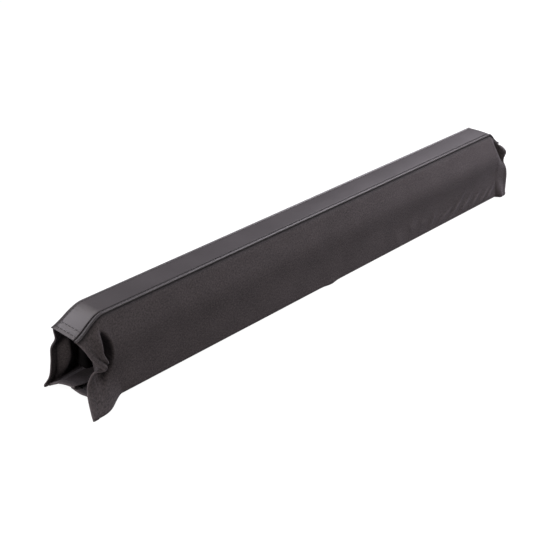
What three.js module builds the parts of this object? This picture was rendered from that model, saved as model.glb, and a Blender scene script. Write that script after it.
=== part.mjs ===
// A pad for the load bar of a roof rack: a foam block in a sewn fabric sleeve that hook-and-loop tape closes.
// Millimetres. +X runs along the pad to its far end, -Y is its front and +Z is up. It rests on z = 0.
// X is 0 midway between the foam's ends, and Y is 0 midway between its sides.

import * as THREE from "three";

// Cover, as sewn and laid flat
const SLEEVE_PAST_FOAM = 36;
const CLOTH_THICKNESS = 1;
const HEM_THICKNESS = 1.8;
const HEM_WIDTH = 10;
const LIP_THICKNESS = 1.8;
const LIP_WIDTH = 3.6;

// Section of the filled cover, over its outside
const HEIGHT = 91.8;
const TOP_WIDTH = 37.4;
const BOTTOM_WIDTH = 79.5;
const SIDE_BULGE = 1.2;
const STRIP_CROWN = 0.8;
const CORNER_RADIUS = 3;
const LIP_TUCK = 1;
const LIP_BEND = 2;
const SEAM_WIDTH = 2.4;

// Foam
const FOAM_LENGTH = 690;
const FOAM_END_ROUND = 5;
const RAIL_END_ROUND = 3;
const FOAM_SHOULDER_ROUND = 11;
const FOAM_FOOT_ROUND = 9;
const FOAM_SIDE_CLEARANCE = 0.6;
const CHANNEL_WIDTH = 36;
const CHANNEL_DEPTH = 26;
const JOINT_RISE = 3;

// Closure under the foam
const TAPE_INSET = 10;
const TAPE_WIDTH = 18;
const TAPE_THICKNESS = 0.9;
const TAPE_END_ROUND = 2;
const FLAP_OVERLAP = 22;
const FLAP_OVERLAP_CENTRE = 9;
const FLAP_RAMP_LENGTH = 9;
const FLAP_RAMP_CLEARANCE = 2;

// Air kept between two pieces that touch on the real pad
const GAP = 0.3;

// Fineness of the cloth solids
const SIDE_ROWS = 22;
const FLAP_ROWS = 9;
const FLAP_ROW_BIAS = 1.4;
const STRIP_ROWS = [0, 0.35, 0.7, 0.95];
const HEM_END_STEPS = [0, 0.1, 0.19, 0.28, 0.37, 0.48, 0.59, 0.69];
const CREASE_STEP = 6;
const NORMAL_STEP = 0.3;
const HEM_STEP = 1;
const LIP_STEP = 0.3;
const LIP_ROUND = 0.7;
const UNDER_LIP = 0.04;
const LIP_FADE = 0.12;
const LEAVE_FADE = 0.15;

// Lengths that follow from the sizes above
const SLEEVE_LENGTH = FOAM_LENGTH + 2 * SLEEVE_PAST_FOAM;
const TAPE_LENGTH = FOAM_LENGTH - 2 * TAPE_INSET;
const OVERALL_HALF = SLEEVE_LENGTH / 2;
const TURN_X = FOAM_LENGTH / 2 - FOAM_END_ROUND;
const OVERHANG = OVERALL_HALF - TURN_X;
const LIP_Z = HEIGHT - CLOTH_THICKNESS / 2 - STRIP_CROWN;
const LIP_DROP = LIP_THICKNESS / 2 + GAP + CLOTH_THICKNESS / 2;
const SIDE_TOP_Z = LIP_Z - LIP_DROP;
const FLAP_Z = CLOTH_THICKNESS / 2;
const HOOK_Z = CLOTH_THICKNESS + GAP;
const LOOP_Z = HOOK_Z + TAPE_THICKNESS + GAP;
const UPPER_FLAP_Z = LOOP_Z + TAPE_THICKNESS + GAP + CLOTH_THICKNESS / 2;
const FOAM_BOTTOM_Z = UPPER_FLAP_Z + CLOTH_THICKNESS / 2 + GAP;
const FOAM_TOP_Z = HEIGHT - CLOTH_THICKNESS - 2 * GAP;
const CHANNEL_CEILING_Z = FOAM_BOTTOM_Z + CHANNEL_DEPTH;
const FRONT_FLAP_EDGE = -(FLAP_OVERLAP_CENTRE + FLAP_OVERLAP / 2);
const BACK_FLAP_EDGE = FLAP_OVERLAP_CENTRE - FLAP_OVERLAP / 2;
const RAMP_END = FLAP_OVERLAP_CENTRE + FLAP_OVERLAP / 2 + FLAP_RAMP_CLEARANCE;
const HEM_FOLD = OVERALL_HALF - HEM_WIDTH;

// How the limp ends hang. A hem point is [place, along, out, up]: its place across the cloth, with 0 at the
// lip, 1 at the bottom corner and 2 at the flap's free edge, and how far it stands from where stiff cloth
// would put it: further out along the pad, out from the middle, and up.
// A dent is a hollow pushed inwards past the foam: its place, its share of the overhang, their spreads and
// its depth, which is negative for a bulge. A pull is how far the cloth keeps straight on past the foam.
const DRAPE = {
  front: {
    near: {
      pull: 40,
      lip: [-4.6, 1.1, -18.9],
      hem: [
        [0, -4.4, 2.2, -17.6],
        [0.1, -7.8, 4.9, -18.2],
        [0.273, -14.2, 7.3, -16.5],
        [0.409, -26, 6.5, -16],
        [0.5, -10.2, 3.1, -6.3],
        [0.585, -6.1, 0, -6.1],
        [0.72, -3.1, -2.1, -7.3],
        [0.88, 4, 7.8, -4.1],
        [1, 10, 18.4, 0],
        [1.08, 6, 19, 0.9],
        [1.3, -2, 19.4, 1.5],
        [1.55, -9.7, 16.5, 3],
        [1.75, -7.7, 16.4, 3.2],
        [2, -8, 15, 3],
      ],
      dents: [
        { place: 0.42, share: 0.34, placeSpread: 0.26, shareSpread: 0.13, depth: 9 },
        { place: 1, share: 0.5, placeSpread: 0.22, shareSpread: 0.28, depth: -5 },
      ],
    },
    far: {
      pull: 26,
      lip: [-14.5, 1.1, -19.5],
      hem: [
        [0, -14, 2.2, -22],
        [0.1, -9.5, 6.9, -21.3],
        [0.2, -13.5, 4.8, -21.9],
        [0.35, -11, 3.4, -20.7],
        [0.6, -10.5, 2, -14.7],
        [0.8, -13, 1.2, -8.5],
        [0.93, -18, 1.5, -2.9],
        [1, -25, 2.5, 0.3],
        [1.2, -30, 3.2, 1],
        [1.5, -23, 1.5, 1.5],
        [2, -15, 1, 1.5],
      ],
      dents: [
        { place: 0.24, share: 0.55, placeSpread: 0.14, shareSpread: 0.24, depth: 7 },
        { place: 0.98, share: 0.36, placeSpread: 0.16, shareSpread: 0.3, depth: -5 },
      ],
    },
  },
  back: {
    near: {
      pull: 44,
      lip: [-1.9, 1.7, -16.9],
      hem: [
        [0, -1.7, 2.8, -15.6],
        [0.12, -7.5, 1.3, -21.2],
        [0.22, -8.6, 0.3, -19.3],
        [0.42, -8.1, 2.6, -15.9],
        [0.68, -5.1, -0.6, -10.2],
        [0.86, 0, -5.4, -6.3],
        [1, 9, -8.2, -0.1],
        [1.08, 6.5, -5.8, 0.8],
        [1.15, 4, -3.5, 0.5],
        [1.4, -1.4, -2.3, 0.8],
        [1.7, -5, 0.3, 1.8],
        [2, -7.5, 0, 2.4],
      ],
      dents: [{ place: 0.5, share: 0.36, placeSpread: 0.24, shareSpread: 0.14, depth: 8 }],
    },
    far: {
      pull: 26,
      lip: [-14, 1.4, -21],
      hem: [
        [0, -12, 2.4, -21.5],
        [0.3, -7, 0, -19],
        [0.6, -6, 1, -12],
        [0.85, -2, 2, -5.5],
        [1, 4, 5, 0],
        [1.08, 2, 4.5, 0.8],
        [1.3, -3, 2, 0.6],
        [2, -8, 0, 2],
      ],
      dents: [{ place: 0.3, share: 0.42, placeSpread: 0.2, shareSpread: 0.18, depth: 6 }],
    },
  },
};

// How the cloth leaves the foam and how it meets its hem: the pull along the spline at the hem,
// and the share of the way out and up that it keeps there.
const LEAVE_FLARE = 0.5;
const HEM_PULL = 36;
const HEM_FLARE = -0.25;
const HEM_LEVELLING = 0.45;

// Creases low on the front near the far end, each from [x, z] to [x, z], and how high and wide they stand.
const CREASES = [
  [[205, 7], [231, 18]],
  [[227, 4], [260, 25]],
  [[251, 6], [278, 20]],
  [[273, 5], [299, 17]],
  [[293, 4], [321, 15]],
  [[313, 5], [336, 17]],
];
const CREASE_HEIGHT = 0.9;
const CREASE_HALF_WIDTH = 4;
const CREASE_START_X = 195;
const CREASE_FOOT_Z = 8;

const smooth = (t) => t * t * (3 - 2 * t);
const bell = (x, centre, spread) => Math.exp(-(((x - centre) / spread) ** 2));

// Half the width of the filled cover at a height.
function halfWidth(z) {
  const share = z / HEIGHT;
  const taper = BOTTOM_WIDTH / 2 + ((TOP_WIDTH - BOTTOM_WIDTH) / 2) * share;
  return taper + 4 * SIDE_BULGE * share * (1 - share);
}

// Part of the bottom corner's arc, between two angles below level.
function cornerArc(from, to) {
  const z = CORNER_RADIUS + FLAP_Z;
  const y = halfWidth(z) - CLOTH_THICKNESS / 2 - CORNER_RADIUS;
  const steps = 6;
  return Array.from({ length: steps + 1 }, (_, i) => {
    const angle = from + ((to - from) * i) / steps;
    return new THREE.Vector2(y + CORNER_RADIUS * Math.cos(angle), z - CORNER_RADIUS * Math.sin(angle));
  });
}

// The side of the cover's section, from under the lip down to the middle of the bottom corner.
function sidePath() {
  const bottom = CORNER_RADIUS + FLAP_Z;
  const tuck = halfWidth(SIDE_TOP_Z) - CLOTH_THICKNESS / 2 - (TOP_WIDTH / 2 - LIP_TUCK);
  const steps = 40;
  const points = Array.from({ length: steps }, (_, i) => {
    const z = SIDE_TOP_Z + ((bottom - SIDE_TOP_Z) * i) / steps;
    const bend = tuck * Math.exp(-(SIDE_TOP_Z - z) / LIP_BEND);
    return new THREE.Vector2(halfWidth(z) - CLOTH_THICKNESS / 2 - bend, z);
  });
  return new THREE.Path([...points, ...cornerArc(0, Math.PI / 4)]);
}

// A flap of the cover's section, from the middle of the bottom corner to its free edge.
function flapPath(ends) {
  const corner = cornerArc(Math.PI / 4, Math.PI / 2);
  return new THREE.Path([...corner, ...ends.map((p) => new THREE.Vector2(...p))]);
}

const SIDE_PATH = sidePath();
const SIDES = {
  front: {
    sign: -1,
    flap: flapPath([[FRONT_FLAP_EDGE, FLAP_Z]]),
    drape: DRAPE.front,
  },
  back: {
    sign: 1,
    flap: flapPath([
      [RAMP_END + FLAP_RAMP_LENGTH, FLAP_Z],
      [RAMP_END, UPPER_FLAP_Z],
      [BACK_FLAP_EDGE, UPPER_FLAP_Z],
    ]),
    drape: DRAPE.back,
  },
};

// How far each place across a hem stands from where stiff cloth would put it.
function hemShift(points) {
  const places = points.map((p) => p[0]);
  const curve = new THREE.CubicInterpolant(places, points.flatMap((p) => p.slice(1)), 3);
  return (place) => Array.from(curve.evaluate(place));
}

for (const side of Object.values(SIDES)) {
  for (const end of Object.values(side.drape)) end.shift = hemShift(end.hem);
}

// The drape of the end that a station is nearer to.
const endDrape = (side, x) => (x < 0 ? side.drape.near : side.drape.far);

// A point of the draped end, on a spline from where the cloth leaves the foam to its hem.
function drapedPoint(x, side, [y, z], [along, out, up]) {
  const { sign } = side;
  const { pull } = endDrape(side, x);
  const way = Math.sign(x);
  const share = (Math.abs(x) - TURN_X) / OVERHANG;
  const leave = new THREE.Vector3(way * TURN_X, sign * y, z);
  const hem = new THREE.Vector3(way * (OVERALL_HALF + along), sign * (y + out), z + up);
  const chord = hem.clone().sub(leave);
  const leaving = new THREE.Vector3(way * pull, LEAVE_FLARE * chord.y, 0);
  const ending = chord.clone().multiply(new THREE.Vector3(1, HEM_FLARE, HEM_LEVELLING)).setLength(HEM_PULL);
  const t2 = share * share;
  const t3 = t2 * share;
  return leave.multiplyScalar(2 * t3 - 3 * t2 + 1)
    .addScaledVector(leaving, t3 - 2 * t2 + share)
    .addScaledVector(hem, 3 * t2 - 2 * t3)
    .addScaledVector(ending, t3 - t2);
}

// The outer edge of the top strip's lip, on one side.
function lipPoint(side, x) {
  const edge = [TOP_WIDTH / 2, LIP_Z];
  if (Math.abs(x) <= TURN_X) return new THREE.Vector3(x, side.sign * edge[0], edge[1]);
  return drapedPoint(x, side, edge, endDrape(side, x).lip);
}

// The top strip's own axes at a station: its middle, its width, and the directions across it and up from it.
function stripFrame(x) {
  const front = lipPoint(SIDES.front, x);
  const back = lipPoint(SIDES.back, x);
  const middle = front.clone().add(back).multiplyScalar(0.5);
  const across = back.clone().sub(front);
  const width = across.length();
  across.divideScalar(width);
  const ahead = lipPoint(SIDES.front, x + NORMAL_STEP).sub(lipPoint(SIDES.front, x - NORMAL_STEP));
  const up = ahead.cross(across).normalize();
  return { middle, across, up, width };
}

// Where a side panel bends in under the lip.
function tuckedEdge(side, x) {
  const { across, up } = stripFrame(x);
  return lipPoint(side, x)
    .addScaledVector(across, -side.sign * LIP_TUCK)
    .addScaledVector(up, -LIP_DROP);
}

// How far a crease lifts the front panel at a point of its side.
function creaseLift(x, z) {
  let lift = 0;
  const height = CREASE_HEIGHT * smooth(Math.min(1, z / CREASE_FOOT_Z));
  for (const [[x0, z0], [x1, z1]] of CREASES) {
    const length = Math.hypot(x1 - x0, z1 - z0);
    const run = ((x - x0) * (x1 - x0) + (z - z0) * (z1 - z0)) / length;
    const off = ((x - x0) * (z1 - z0) - (z - z0) * (x1 - x0)) / length;
    lift += height * bell(off, 0, CREASE_HALF_WIDTH) * bell(run, length / 2, length / 2);
  }
  return lift;
}

// The middle of the cloth's thickness at a station along the pad and a place across the cloth.
function clothPoint(side, x, place) {
  const flat = place <= 1 ? SIDE_PATH.getPointAt(place) : side.flap.getPointAt(Math.min(place - 1, 1));
  const section = [flat.x, flat.y];
  if (Math.abs(x) <= TURN_X) {
    const lift = side === SIDES.front && place < 1 ? creaseLift(x, flat.y) : 0;
    return new THREE.Vector3(x, side.sign * (flat.x + lift), flat.y);
  }
  const { shift, dents } = endDrape(side, x);
  const share = (Math.abs(x) - TURN_X) / OVERHANG;
  const point = drapedPoint(x, side, section, shift(place));
  for (const dent of dents) {
    const across = bell(place, dent.place, dent.placeSpread) * smooth(Math.min(1, place / LIP_FADE));
    const along = bell(share, dent.share, dent.shareSpread) * smooth(Math.min(1, share / LEAVE_FADE));
    point.y -= side.sign * dent.depth * across * along;
  }
  const edge = drapedPoint(x, side, [SIDE_PATH.getPointAt(0).x, SIDE_TOP_Z], shift(0));
  const slack = tuckedEdge(side, x).sub(edge);
  return point.addScaledVector(slack, smooth(Math.max(0, 1 - place / LIP_FADE)));
}

// The cloth's outward direction at a point.
function clothNormal(side, x, place) {
  const reach = NORMAL_STEP / SIDE_PATH.getLength();
  const low = Math.max(0, place - reach);
  const high = Math.min(2, place + reach);
  const inner = Math.max(-OVERALL_HALF, x - NORMAL_STEP);
  const outer = Math.min(OVERALL_HALF, x + NORMAL_STEP);
  const down = clothPoint(side, x, high).sub(clothPoint(side, x, low));
  const along = clothPoint(side, outer, place).sub(clothPoint(side, inner, place));
  return along.cross(down).multiplyScalar(side.sign).normalize();
}

// The row of a side panel that lies flat under the strip, where the two are sewn together.
function seamRow(side, x, way) {
  const { across, up } = stripFrame(x);
  return clothPoint(side, x, 0)
    .addScaledVector(across, -side.sign * SEAM_WIDTH)
    .addScaledVector(up, (way * CLOTH_THICKNESS) / 2);
}

// Stations along an end, from the foam to the hem, as distances along the flat cover.
function endStations() {
  const draped = HEM_END_STEPS.map((share) => TURN_X + share * OVERHANG);
  const hem = [HEM_FOLD - HEM_STEP / 2, HEM_FOLD + HEM_STEP / 2, (HEM_FOLD + OVERALL_HALF) / 2, OVERALL_HALF];
  return [...draped, ...hem];
}

// Stations of the whole cover, close together over the creases and at the limp ends.
function stations(creased) {
  const ends = endStations();
  const near = ends.map((x) => -x).reverse();
  const reach = TURN_X - CREASE_START_X;
  const count = creased ? Math.round(reach / CREASE_STEP) : 0;
  const pleats = Array.from({ length: count }, (_, i) => CREASE_START_X + (reach * i) / count);
  return [...near, ...pleats, ...ends];
}

// The hem is two layers thick, but not where it runs in under the lip.
function clothThickness(x, place) {
  const folded = Math.abs(x) > HEM_FOLD && place > UNDER_LIP;
  return folded ? HEM_THICKNESS : CLOTH_THICKNESS;
}

// A closed solid between two grids of points, given as rows of stations.
function shell(outer, inner) {
  const rows = outer[0].length;
  const points = [...outer.flat(), ...inner.flat()];
  const lower = outer.length * rows;
  const index = [];
  const quad = (a, b, c, d) => index.push(a, b, c, a, c, d);
  for (let i = 0; i + 1 < outer.length; i += 1) {
    for (let j = 0; j + 1 < rows; j += 1) {
      const a = i * rows + j;
      quad(a + 1, a + rows + 1, a + rows, a);
      quad(lower + a + rows, lower + a + rows + 1, lower + a + 1, lower + a);
    }
    const first = i * rows;
    const last = first + rows - 1;
    quad(first, first + rows, lower + first + rows, lower + first);
    quad(last, lower + last, lower + last + rows, last + rows);
  }
  const end = (outer.length - 1) * rows;
  for (let j = 0; j + 1 < rows; j += 1) {
    quad(j, lower + j, lower + j + 1, j + 1);
    quad(end + j, end + j + 1, lower + end + j + 1, lower + end + j);
  }
  const geometry = new THREE.BufferGeometry().setFromPoints(points);
  geometry.setIndex(index);
  return geometry;
}

// One side of the cover: side panel and flap as one cloth.
function sideCloth(side, creased) {
  const places = [
    ...Array.from({ length: SIDE_ROWS }, (_, i) => i / SIDE_ROWS),
    ...Array.from({ length: FLAP_ROWS + 1 }, (_, i) => 1 + (i / FLAP_ROWS) ** FLAP_ROW_BIAS),
  ];
  const face = (way) => stations(creased).map((x) => {
    const rows = places.map((place) => {
      const reach = (way * clothThickness(x, place)) / 2;
      return clothPoint(side, x, place).addScaledVector(clothNormal(side, x, place), reach);
    });
    return [seamRow(side, x, way), ...rows];
  });
  const faces = [face(1), face(-1)];
  return side.sign < 0 ? shell(faces[0], faces[1]) : shell(faces[1], faces[0]);
}

// The top strip: flat between two folded lips that run along its edges.
function topStrip() {
  const half = TOP_WIDTH / 2;
  const lipStart = half - LIP_WIDTH;
  const inside = STRIP_ROWS.map((share) => [share * lipStart, CLOTH_THICKNESS]);
  const lip = [
    [lipStart + LIP_STEP, LIP_THICKNESS],
    [half - LIP_ROUND, LIP_THICKNESS],
    [half, LIP_THICKNESS / 2],
  ];
  const right = [...inside, ...lip];
  const profile = [...right.slice(1).reverse().map(([w, t]) => [-w, t]), ...right];
  const faces = [1, -1].map((way) => stations(false).map((x) => {
    const { middle, across, up, width } = stripFrame(x);
    const hem = clothThickness(x, 1) - CLOTH_THICKNESS;
    return profile.map(([w, t]) => {
      const crown = STRIP_CROWN * (1 - (w / half) ** 2);
      const thickness = t + (t > CLOTH_THICKNESS ? 0 : hem);
      return middle.clone()
        .addScaledVector(across, (w * width) / TOP_WIDTH)
        .addScaledVector(up, crown + (way * thickness) / 2);
    });
  }));
  return shell(faces[1], faces[0]);
}

// Turns a section drawn in the YZ plane, and extruded, so that it runs along X.
const ALONG_X = new THREE.Matrix4().set(0, 0, 1, 0, 1, 0, 0, 0, 0, 1, 0, 0, 0, 0, 0, 1);

// Half the foam's width at a height, inside the cloth.
const foamHalfWidth = (z) => halfWidth(z) - CLOTH_THICKNESS - FOAM_SIDE_CLEARANCE;

// How far out a quadratic curve's control point lies for the foam's side to follow the cloth between two heights.
function sideControl(low, high) {
  const middle = (low + high) / 2;
  return [2 * foamHalfWidth(middle) - (foamHalfWidth(low) + foamHalfWidth(high)) / 2, middle];
}

// The foam's block above the bar's channel, in section. Its joints with the rails rise towards the sides.
function blockSection() {
  const ceiling = CHANNEL_WIDTH / 2 - GAP;
  const low = CHANNEL_CEILING_Z + JOINT_RISE;
  const high = FOAM_TOP_Z - FOAM_SHOULDER_ROUND;
  const shoulder = foamHalfWidth(FOAM_TOP_Z);
  const [controlY, controlZ] = sideControl(low, high);
  const shape = new THREE.Shape();
  shape.moveTo(-ceiling, CHANNEL_CEILING_Z);
  shape.lineTo(ceiling, CHANNEL_CEILING_Z);
  shape.lineTo(foamHalfWidth(low), low);
  shape.quadraticCurveTo(controlY, controlZ, foamHalfWidth(high), high);
  shape.quadraticCurveTo(shoulder, FOAM_TOP_Z, shoulder - FOAM_SHOULDER_ROUND, FOAM_TOP_Z);
  shape.lineTo(FOAM_SHOULDER_ROUND - shoulder, FOAM_TOP_Z);
  shape.quadraticCurveTo(-shoulder, FOAM_TOP_Z, -foamHalfWidth(high), high);
  shape.quadraticCurveTo(-controlY, controlZ, -foamHalfWidth(low), low);
  return shape;
}

// A foam rail beside the bar's channel, in section.
function railSection(sign) {
  const low = FOAM_BOTTOM_Z + FOAM_FOOT_ROUND;
  const high = CHANNEL_CEILING_Z + JOINT_RISE - GAP;
  const foot = foamHalfWidth(FOAM_BOTTOM_Z);
  const channel = CHANNEL_WIDTH / 2;
  const [controlY, controlZ] = sideControl(low, high);
  const shape = new THREE.Shape();
  shape.moveTo(sign * channel, FOAM_BOTTOM_Z);
  shape.lineTo(sign * (foot - FOAM_FOOT_ROUND), FOAM_BOTTOM_Z);
  shape.quadraticCurveTo(sign * foot, FOAM_BOTTOM_Z, sign * foamHalfWidth(low), low);
  shape.quadraticCurveTo(sign * controlY, controlZ, sign * foamHalfWidth(high), high);
  shape.lineTo(sign * channel, CHANNEL_CEILING_Z - GAP);
  return shape;
}

// A length of foam with its ends rounded over.
function foamLength(section, endRound) {
  const geometry = new THREE.ExtrudeGeometry(section, {
    depth: FOAM_LENGTH - 2 * endRound,
    bevelThickness: endRound,
    bevelSize: endRound,
    bevelOffset: -endRound,
    bevelSegments: 3,
    curveSegments: 4,
  });
  return geometry.applyMatrix4(ALONG_X).translate(endRound - FOAM_LENGTH / 2, 0, 0);
}

// A flat tape with rounded corners, its thickness upwards from z = 0.
function tape() {
  const x = TAPE_LENGTH / 2;
  const y = TAPE_WIDTH / 2;
  const r = TAPE_END_ROUND;
  const shape = new THREE.Shape();
  shape.moveTo(r - x, -y);
  shape.lineTo(x - r, -y);
  shape.absarc(x - r, r - y, r, -Math.PI / 2, 0);
  shape.absarc(x - r, y - r, r, 0, Math.PI / 2);
  shape.absarc(r - x, y - r, r, Math.PI / 2, Math.PI);
  shape.absarc(r - x, r - y, r, Math.PI, 1.5 * Math.PI);
  return new THREE.ExtrudeGeometry(shape, { depth: TAPE_THICKNESS, bevelEnabled: false, curveSegments: 4 });
}

const MATERIALS = {
  coated_fabric: new THREE.MeshStandardMaterial({ color: 0x2b292a, roughness: 0.42, metalness: 0 }),
  woven_polyester: new THREE.MeshStandardMaterial({ color: 0x1f1d1e, roughness: 0.85, metalness: 0 }),
  foam: new THREE.MeshStandardMaterial({ color: 0x1a1a1b, roughness: 0.95, metalness: 0 }),
  hook_and_loop: new THREE.MeshStandardMaterial({ color: 0x151516, roughness: 0.9, metalness: 0 }),
};

// A named mesh in its own material.
function piece(name, geometry, material) {
  const mesh = new THREE.Mesh(geometry, material.clone());
  mesh.name = name;
  return mesh;
}

const pad = new THREE.Group();

const foam = new THREE.Group();
foam.add(piece("foam_block", foamLength(blockSection(), FOAM_END_ROUND), MATERIALS.foam));
foam.add(piece("foam_rail_front", foamLength(railSection(-1), RAIL_END_ROUND), MATERIALS.foam));
foam.add(piece("foam_rail_back", foamLength(railSection(1), RAIL_END_ROUND), MATERIALS.foam));
pad.add(foam);

const cover = new THREE.Group();
cover.add(piece("top_strip", topStrip(), MATERIALS.coated_fabric));
cover.add(piece("front_panel", sideCloth(SIDES.front, true), MATERIALS.woven_polyester));
cover.add(piece("back_panel", sideCloth(SIDES.back, false), MATERIALS.woven_polyester));
pad.add(cover);

const closure = new THREE.Group();
closure.position.y = FLAP_OVERLAP_CENTRE;
const hook = piece("hook_tape", tape(), MATERIALS.hook_and_loop);
hook.position.z = HOOK_Z;
const loop = piece("loop_tape", tape(), MATERIALS.hook_and_loop);
loop.position.z = LOOP_Z;
closure.add(hook, loop);
pad.add(closure);

export default pad;
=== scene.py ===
"""Looks of a roof rack pad: foam in a sewn sleeve with a coated top strip.

Sizes are in millimetres while a shape is worked out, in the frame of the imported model, and turn to metres
when its mesh is made. +X runs along the pad, -Y is its front and +Z is up.
"""

import logging
import math
from dataclasses import dataclass, field
from enum import Enum
from typing import Sequence

import bpy
import numpy as np
from mathutils import Euler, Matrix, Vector


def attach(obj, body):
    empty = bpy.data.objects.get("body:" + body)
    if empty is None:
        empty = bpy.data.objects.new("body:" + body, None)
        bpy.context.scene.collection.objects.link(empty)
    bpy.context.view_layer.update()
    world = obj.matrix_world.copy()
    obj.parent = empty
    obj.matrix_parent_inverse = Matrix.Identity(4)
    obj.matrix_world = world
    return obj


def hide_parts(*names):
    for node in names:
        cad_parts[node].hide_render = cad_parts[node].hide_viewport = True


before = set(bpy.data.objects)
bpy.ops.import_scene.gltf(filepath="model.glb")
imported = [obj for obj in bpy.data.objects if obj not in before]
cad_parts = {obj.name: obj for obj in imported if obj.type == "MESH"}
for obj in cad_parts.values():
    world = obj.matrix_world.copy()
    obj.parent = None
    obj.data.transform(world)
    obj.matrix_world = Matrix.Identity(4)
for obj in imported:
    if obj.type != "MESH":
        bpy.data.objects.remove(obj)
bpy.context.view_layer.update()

LOG = logging.getLogger("roof_rack_pad")
MM = 0.001
BODY = "root"

# The mesh attribute that holds each point's place on the flat cloth, for patterns. Its third number marks
# Its third number, in millimetres from -1 to 1, carries painted light: on the side panels a painted
# highlight above 0, partly from rubbing, and painted shade below 0; on the top strip painted shade in
# the stitched groove.
FLAT = "flat"


class Slot(Enum):
    """The record's material slots."""

    COATED = "coated_fabric"
    WOVEN = "woven_polyester"
    FOAM = "foam"
    HOOK_AND_LOOP = "hook_and_loop"


# Curves


def smooth(share: np.ndarray) -> np.ndarray:
    """Ease a share from 0 to 1, with level ends."""
    eased = np.clip(share, 0.0, 1.0)
    return eased * eased * (3 - 2 * eased)


def bell(at: np.ndarray, centre: float, spread: float) -> np.ndarray:
    """Bell curve of height 1."""
    return np.exp(-(((at - centre) / spread) ** 2))


def unit(vectors: np.ndarray) -> np.ndarray:
    """Scale vectors to length 1."""
    return vectors / np.maximum(np.linalg.norm(vectors, axis=-1, keepdims=True), 1e-9)


def along_path(path: np.ndarray, share: np.ndarray) -> np.ndarray:
    """Find points on a polyline by their share of its length.

    Args:
        path: corners of the polyline, one row each.
        share: shares of the length, from 0 to 1.

    Returns:
        One row for each share.
    """
    run = np.concatenate([[0.0], np.cumsum(np.linalg.norm(np.diff(path, axis=0), axis=1))])
    return np.stack([np.interp(share * run[-1], run, path[:, k]) for k in range(path.shape[1])], axis=-1)


def hermite(
    share: np.ndarray, start: np.ndarray, leaving: np.ndarray, end: np.ndarray, arriving: np.ndarray
) -> np.ndarray:
    """Find points on a spline between two points.

    Args:
        share: shares of the way, from 0 to 1.
        start: the first point.
        leaving: the spline's speed at the first point.
        end: the last point.
        arriving: the spline's speed at the last point.

    Returns:
        The points, in the shape that the arguments make together.
    """
    return (
        (2 * share**3 - 3 * share**2 + 1) * start
        + (share**3 - 2 * share**2 + share) * leaving
        + (3 * share**2 - 2 * share**3) * end
        + (share**3 - share**2) * arriving
    )


def through(knots: np.ndarray, values: np.ndarray, at: np.ndarray) -> np.ndarray:
    """Run a smooth curve through values, with each knot's slope the mean of its two neighbours'.

    Args:
        knots: rising knot positions.
        values: one row of values for each knot.
        at: positions to read.

    Returns:
        One row of values for each position.
    """
    step = np.diff(knots)
    rise = np.diff(values, axis=0) / step[:, None]
    slope = np.concatenate([rise[:1], (rise[1:] + rise[:-1]) / 2, rise[-1:]])
    inside = np.clip(at, knots[0], knots[-1])
    left = np.clip(np.searchsorted(knots, inside, side="right") - 1, 0, len(step) - 1)
    share = ((inside - knots[left]) / step[left])[:, None]
    length = step[left][:, None]
    return hermite(share, values[left], length * slope[left], values[left + 1], length * slope[left + 1])


# Sizes of the pad


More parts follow.
